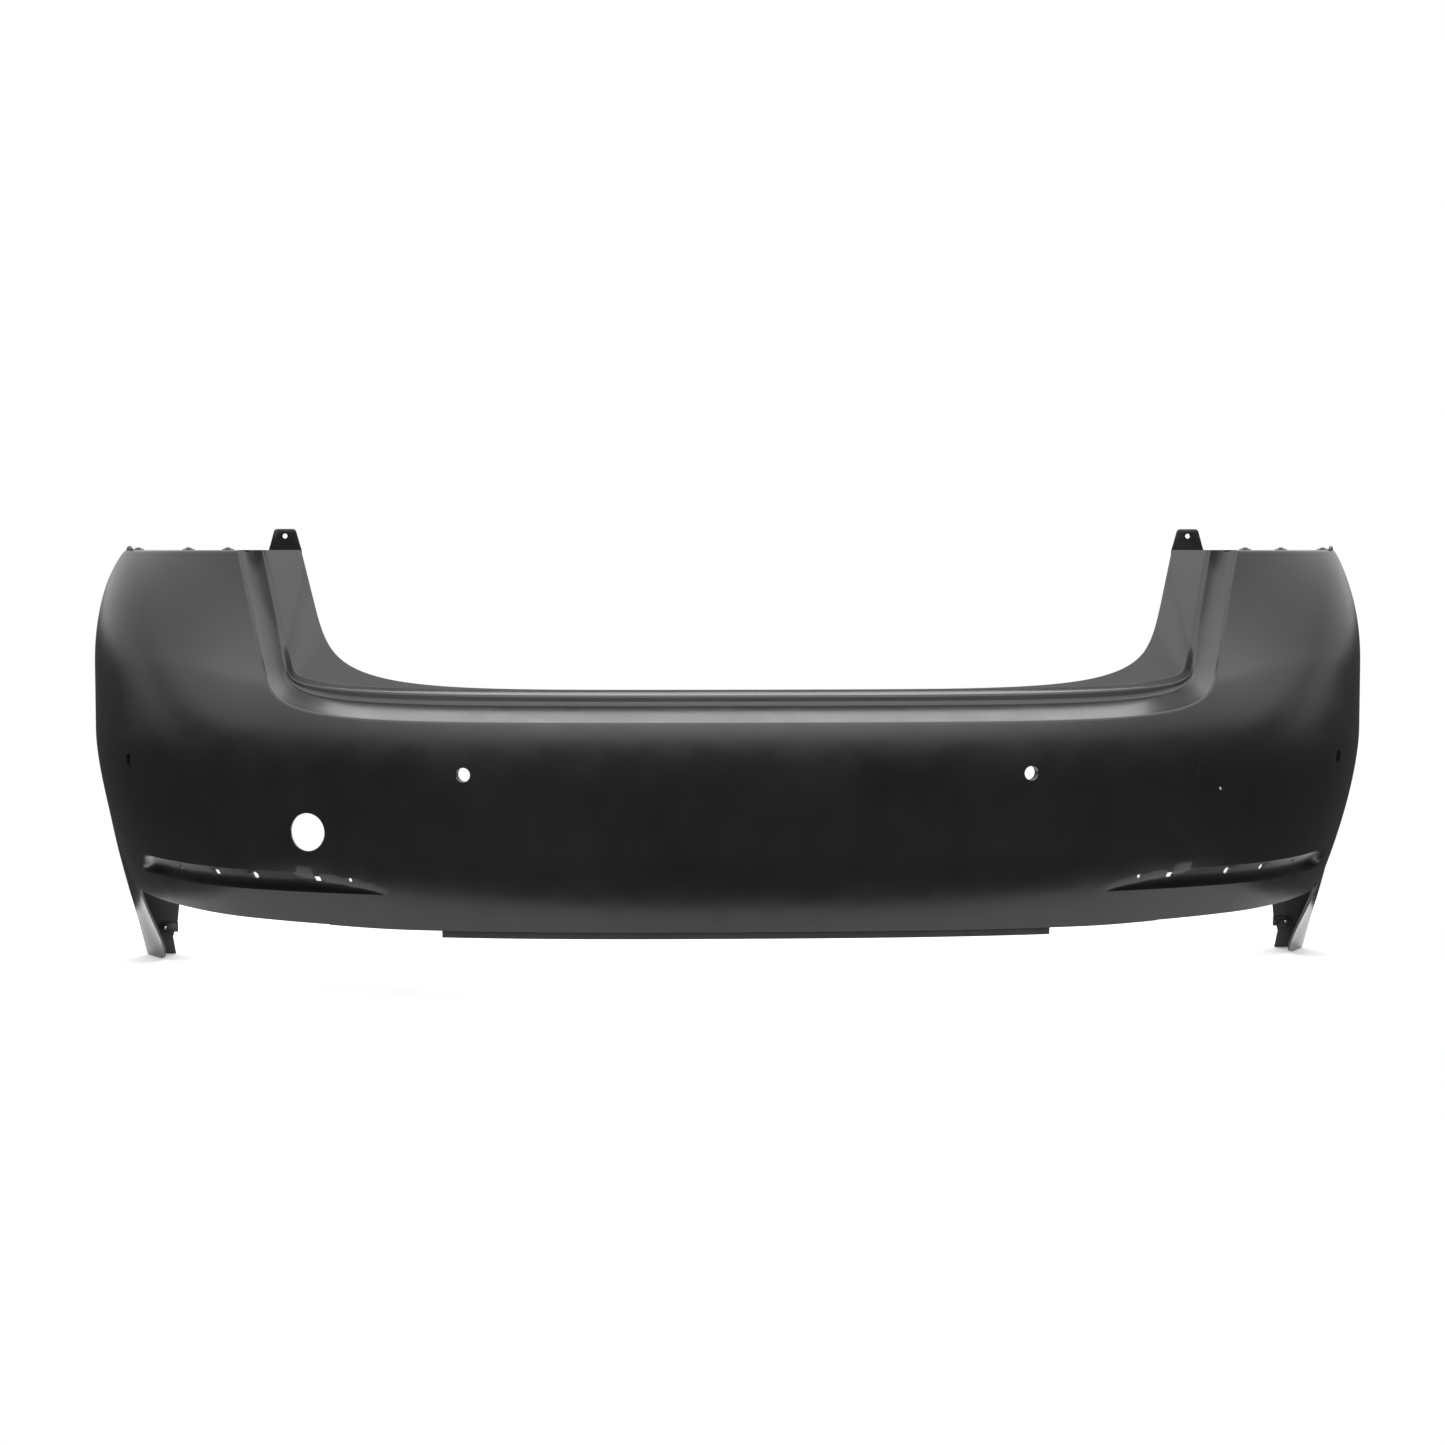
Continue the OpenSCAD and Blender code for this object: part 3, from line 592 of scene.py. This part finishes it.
# Profiles of the rivet and its pin as [radius, z] points, each from its own seat
RIVET_HEAD = [(2.2, 0.1), (7.4, 0.1), (7.9, 0.4), (8.0, 0.8), (7.6, 1.3), (6.6, 1.6), (5.4, 1.6), (4.9, 1.0),
              (2.2, 1.0)]
RIVET_NECK = [(2.2, 0.3), (2.2, -8.0), (3.7, -8.0), (3.8, -7.0), (3.8, 0.3)]
RIVET_LEG = [(2.2, -7.8), (2.2, -15.4), (2.6, -15.9), (3.1, -15.9), (4.3, -11.0), (3.8, -9.4), (3.7, -7.8)]
PIN = [(0.0, 0.0), (4.2, 0.0), (4.5, 0.3), (4.4, 0.8), (3.6, 1.25), (2.2, 1.4), (0.0, 1.4)]
PIN_SHANK = [(0.0, 0.2), (0.0, -16.0), (1.3, -16.0), (1.9, -15.0), (2.0, -14.0), (2.0, 0.2)]
# Height of the pin's seat over the rivet's, half the gap between two legs in degrees, and the raised cross
PIN_SEAT, LEG_GAP_A = 1.9, 8
CROSS_Z, CROSS_LENGTH, CROSS_W, CROSS_H = 1.35, 5.0, 0.9, 0.5


def rivet_seat(row, side_name):
    """The place on the top flange where a rivet of the CAD model sits."""
    low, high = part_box(f"rivet_{row}_{side_name}")
    middle = (low + high) / 2
    return Matrix.Translation((middle.x, middle.y, TOP_Z * MM))


def rivet_mesh(seat):
    bm = bmesh.new()
    add_lathe(bm, RIVET_HEAD)
    add_lathe(bm, RIVET_NECK)
    for start in range(0, 360, 90):
        add_lathe(bm, RIVET_LEG, 10, start + LEG_GAP_A, start + 90 - LEG_GAP_A)
    bm.transform(seat)
    return bm


def pin_mesh(seat):
    bm = bmesh.new()
    add_lathe(bm, PIN)
    add_lathe(bm, PIN_SHANK)
    for turn in (0, math.pi / 2):
        bar = Matrix.Rotation(turn, 4, "Z") @ Matrix.Translation((0, 0, CROSS_Z * MM))
        add_slot(bm, bar, CROSS_LENGTH, CROSS_H, CROSS_W)
    bm.transform(seat @ Matrix.Translation((0, 0, PIN_SEAT * MM)))
    return bm


def fasteners():
    """Push rivets with slotted legs and dished heads, and the domed pins that slide in them."""
    for name, _side in SIDES:
        for row in RIVET_ROWS:
            seat = rivet_seat(row, name)
            rivet = new_object(f"rivet_{row}_{name}_moulded", rivet_mesh(seat))
            finish_fastener(rivet, "cover", f"rivet_{row}_{name}")
            pin = new_object(f"pin_{row}_{name}_moulded", pin_mesh(seat))
            finish_fastener(pin, f"pin_{row}_{name}", f"pin_{row}_{name}")


def finish_fastener(piece, body, node):
    """Cleans a fastener's mesh, gives it its finish and ties it to its body and CAD node."""
    bm = bmesh.new()
    bm.from_mesh(piece.data)
    bmesh.ops.remove_doubles(bm, verts=bm.verts, dist=0.001 * MM)
    bmesh.ops.recalc_face_normals(bm, faces=bm.faces)
    bm.to_mesh(piece.data)
    bm.free()
    piece.data.materials.append(MATERIALS["rivet"])
    shade(piece)
    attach(piece, body)
    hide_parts(node)


# ---- materials

def node_tree(name):
    """A new material, its tree and its shader."""
    material = bpy.data.materials.new(name)
    material.use_nodes = True
    tree = material.node_tree
    shader = tree.nodes["Principled BSDF"]
    return material, tree, shader


def noise(tree, scale, detail=3.0, stretch=(1, 1, 1)):
    """A noise pattern in metres over the piece, as a value near 0.5."""
    coords = tree.nodes.new("ShaderNodeTexCoord")
    mapping = tree.nodes.new("ShaderNodeMapping")
    mapping.inputs["Scale"].default_value = stretch
    pattern = tree.nodes.new("ShaderNodeTexNoise")
    pattern.inputs["Scale"].default_value = scale
    pattern.inputs["Detail"].default_value = detail
    tree.links.new(coords.outputs["Object"], mapping.inputs["Vector"])
    tree.links.new(mapping.outputs["Vector"], pattern.inputs["Vector"])
    return pattern.outputs["Fac"]


def ramp(tree, value, low, high, start=0.35, end=0.65):
    """The value spread over two colours or two numbers."""
    scale = tree.nodes.new("ShaderNodeMapRange")
    scale.inputs["From Min"].default_value = start
    scale.inputs["From Max"].default_value = end
    tree.links.new(value, scale.inputs["Value"])
    if not isinstance(low, tuple):
        scale.inputs["To Min"].default_value = low
        scale.inputs["To Max"].default_value = high
        return scale.outputs["Result"]
    return blended(tree, scale.outputs["Result"], (*low, 1.0), (*high, 1.0))


def blended(tree, factor, first, second):
    """A mix of two colours, each a colour or a socket."""
    step = tree.nodes.new("ShaderNodeMix")
    step.data_type = "RGBA"
    tree.links.new(factor, step.inputs["Factor"])
    sockets = [i for i in step.inputs if i.type == "RGBA"]
    for socket, value in zip(sockets, (first, second)):
        if isinstance(value, tuple):
            socket.default_value = value
        else:
            tree.links.new(value, socket)
    return next(o for o in step.outputs if o.type == "RGBA")


def bump(tree, shader, heights):
    """Chains bumps onto a shader: each is a pattern and its height in metres."""
    normal = None
    for value, height in heights:
        step = tree.nodes.new("ShaderNodeBump")
        step.inputs["Strength"].default_value = 1.0
        step.inputs["Distance"].default_value = height
        tree.links.new(value, step.inputs["Height"])
        if normal is not None:
            tree.links.new(normal, step.inputs["Normal"])
        normal = step.outputs["Normal"]
    tree.links.new(normal, shader.inputs["Normal"])


def primer_material():
    """Satin dark grey primer: faint clouds of sprayed paint, orange peel, and dry overspray."""
    material, tree, shader = node_tree("primer_satin")
    clouds = noise(tree, 5.0, 4.0)
    peel = noise(tree, 420.0, 2.0)
    dust = noise(tree, 2600.0, 1.0)
    tree.links.new(ramp(tree, clouds, (0.0080, 0.0080, 0.0083), (0.0110, 0.0110, 0.0113)),
                   shader.inputs["Base Color"])
    tree.links.new(ramp(tree, noise(tree, 22.0, 5.0), 0.21, 0.27), shader.inputs["Roughness"])
    shader.inputs["IOR"].default_value = 1.5
    bump(tree, shader, [(peel, 0.000012), (dust, 0.000003)])
    return material


def raw_material():
    """Unpainted polypropylene on the inner side: fine grain with pale flow marks."""
    material, tree, shader = node_tree("raw_polypropylene")
    flow = noise(tree, 9.0, 5.0, (1, 1, 0.3))
    tree.links.new(ramp(tree, flow, (0.022, 0.022, 0.023), (0.034, 0.034, 0.035)),
                   shader.inputs["Base Color"])
    tree.links.new(ramp(tree, noise(tree, 60.0), 0.42, 0.58), shader.inputs["Roughness"])
    bump(tree, shader, [(noise(tree, 900.0, 4.0), 0.00004)])
    return material


def black_material():
    """Glass-filled black plastic: coarse spark-eroded grain with scuffed patches."""
    material, tree, shader = node_tree("black_grained_plastic")
    tree.links.new(ramp(tree, noise(tree, 35.0, 6.0), (0.006, 0.006, 0.006), (0.012, 0.012, 0.012)),
                   shader.inputs["Base Color"])
    tree.links.new(ramp(tree, noise(tree, 80.0, 4.0), 0.45, 0.65), shader.inputs["Roughness"])
    bump(tree, shader, [(noise(tree, 1400.0, 3.0), 0.00006)])
    return material


def rivet_material():
    """Smooth black nylon with a slight mottle."""
    material, tree, shader = node_tree("rivet_nylon")
    tree.links.new(ramp(tree, noise(tree, 300.0, 4.0), (0.014, 0.014, 0.015), (0.024, 0.024, 0.025)),
                   shader.inputs["Base Color"])
    tree.links.new(ramp(tree, noise(tree, 500.0), 0.30, 0.42), shader.inputs["Roughness"])
    bump(tree, shader, [(noise(tree, 1800.0), 0.00002)])
    return material


def steel_material():
    """Phosphated spring steel: rolled grain, darker where the coating is thicker."""
    material, tree, shader = node_tree("spring_steel")
    tree.links.new(ramp(tree, noise(tree, 160.0, 6.0), (0.03, 0.03, 0.032), (0.10, 0.10, 0.105)),
                   shader.inputs["Base Color"])
    tree.links.new(ramp(tree, noise(tree, 300.0, 4.0), 0.28, 0.5), shader.inputs["Roughness"])
    shader.inputs["Metallic"].default_value = 1.0
    bump(tree, shader, [(noise(tree, 700.0, 3.0, (1, 12, 12)), 0.00002)])
    return material


MATERIALS = {"primer": primer_material(), "raw": raw_material(), "black": black_material(),
             "rivet": rivet_material(), "steel": steel_material()}
# The record's material slots and the finish of each
SLOT_MATERIALS = {"black_plastic": "black", "rivet_plastic": "rivet", "spring_steel": "steel",
                  "primer_skin": "primer"}


def carried_nodes():
    """Gives every CAD node the finish of its slot. The nodes that nothing replaces are seen like this."""
    for part in frame["record"]["subparts"]:
        node = frame["nodes"][part["node"]]
        node.data.materials.clear()
        node.data.materials.append(MATERIALS[SLOT_MATERIALS[part["material_slot"]]])


# ---- floor, light and camera

# The floor's near and far edges and its half width, and how far it lies under the lowest point, in metres
FLOOR_NEAR, FLOOR_FAR, FLOOR_HALF, FLOOR_GAP = -0.52, 0.9, 1.0, 0.0005
WHITE = (1.0, 1.0, 1.0, 1.0)


def floor():
    """A plain pale floor, with the faintest unevenness, level with the cover's lowest points."""
    bm = bmesh.new()
    bmesh.ops.create_grid(bm, x_segments=8, y_segments=8, size=1.0)
    size = Matrix.Diagonal((FLOOR_HALF, (FLOOR_FAR - FLOOR_NEAR) / 2, 1, 1))
    bm.transform(Matrix.Translation((0, (FLOOR_NEAR + FLOOR_FAR) / 2, cad_box[0].z - FLOOR_GAP)) @ size)
    made = new_object("floor", bm)
    material, tree, shader = node_tree("floor_pale")
    tree.links.new(ramp(tree, noise(tree, 3.0), (0.72, 0.72, 0.72), (0.76, 0.76, 0.76)),
                   shader.inputs["Base Color"])
    shader.inputs["Roughness"].default_value = 0.9
    shader.inputs["Specular IOR Level"].default_value = 0.1
    made.data.materials.append(material)


# Brightness of the room as (sine of the elevation, level): in front of the face, to its sides, and behind it
FRONT_ROOM = ((0.0, 0.03), (0.19, 0.05), (0.206, 0.5), (0.24, 1.4), (0.31, 3.8), (0.60, 3.4), (1.0, 2.6))
SIDE_ROOM = ((0.0, 0.03), (0.18, 0.05), (0.22, 1.4), (0.36, 1.5), (0.50, 2.0), (0.62, 2.8), (0.74, 2.0),
             (1.0, 1.2))
BACK_ROOM = ((0.0, 0.06), (0.01, 0.08), (0.05, 0.8), (0.26, 1.0), (0.55, 2.4), (1.0, 2.6))
# Where one part of the room turns into the next, by how far a direction points across and towards the back
BESIDE_FROM, BESIDE_TO = 0.25, 0.75
BEHIND_FROM, BEHIND_TO = -0.1, 0.2


def elevation_ramp(tree, up, stops):
    """A colour ramp over the elevation through the given stops."""
    levels = tree.nodes.new("ShaderNodeValToRGB")
    points = levels.color_ramp.elements
    for position, level in stops[1:-1]:
        points.new(position).color = (level, level, level, 1)
    for point, (position, level) in zip((points[0], points[-1]), (stops[0], stops[-1])):
        point.color = (level, level, level, 1)
    tree.links.new(up, levels.inputs[0])
    return levels.outputs["Color"]


def studio_light():
    """A room with a bright ceiling, dark near the horizon except at the back. The camera sees it as white."""
    world = bpy.data.worlds.new("studio")
    bpy.context.scene.world = world
    world.use_nodes = True
    tree = world.node_tree
    tree.nodes.clear()
    coords = tree.nodes.new("ShaderNodeTexCoord")
    parts = tree.nodes.new("ShaderNodeSeparateXYZ")
    tree.links.new(coords.outputs["Generated"], parts.inputs[0])
    up, towards = parts.outputs["Z"], parts.outputs["Y"]
    across = tree.nodes.new("ShaderNodeMath")
    across.operation = "ABSOLUTE"
    tree.links.new(parts.outputs["X"], across.inputs[0])
    beside = ramp(tree, across.outputs[0], 0.0, 1.0, BESIDE_FROM, BESIDE_TO)
    behind = ramp(tree, towards, 0.0, 1.0, BEHIND_FROM, BEHIND_TO)
    front, side, back = (elevation_ramp(tree, up, stops) for stops in (FRONT_ROOM, SIDE_ROOM, BACK_ROOM))
    room = blended(tree, behind, blended(tree, beside, front, side), back)
    seen = tree.nodes.new("ShaderNodeLightPath")
    background = tree.nodes.new("ShaderNodeBackground")
    tree.links.new(blended(tree, seen.outputs["Is Camera Ray"], room, WHITE), background.inputs["Color"])
    output = tree.nodes.new("ShaderNodeOutputWorld")
    tree.links.new(background.outputs[0], output.inputs[0])


# In metres, with the turn about Z and the tilt from straight down
CAMERA_PLACE = (-0.164, -3.625, 0.582)
CAMERA_TURN, CAMERA_TILT = math.radians(-2.27), math.radians(90 - 3.688)
SENSOR_W, FOCAL_LENGTH, CLIP_END = 36.0, 66.67, 200.0


def camera():
    """The photo's view: straight at the face from a little above."""
    lens = bpy.data.cameras.new("camera")
    lens.sensor_width = SENSOR_W
    lens.lens = FOCAL_LENGTH
    lens.clip_end = CLIP_END
    eye = bpy.data.objects.new("camera", lens)
    eye.location = CAMERA_PLACE
    eye.rotation_euler = (CAMERA_TILT, 0, CAMERA_TURN)
    bpy.context.scene.collection.objects.link(eye)
    bpy.context.scene.camera = eye
    bpy.context.scene.view_settings.view_transform = "Standard"


camera()
cover_skin()
fasteners()
carried_nodes()
floor()
studio_light()
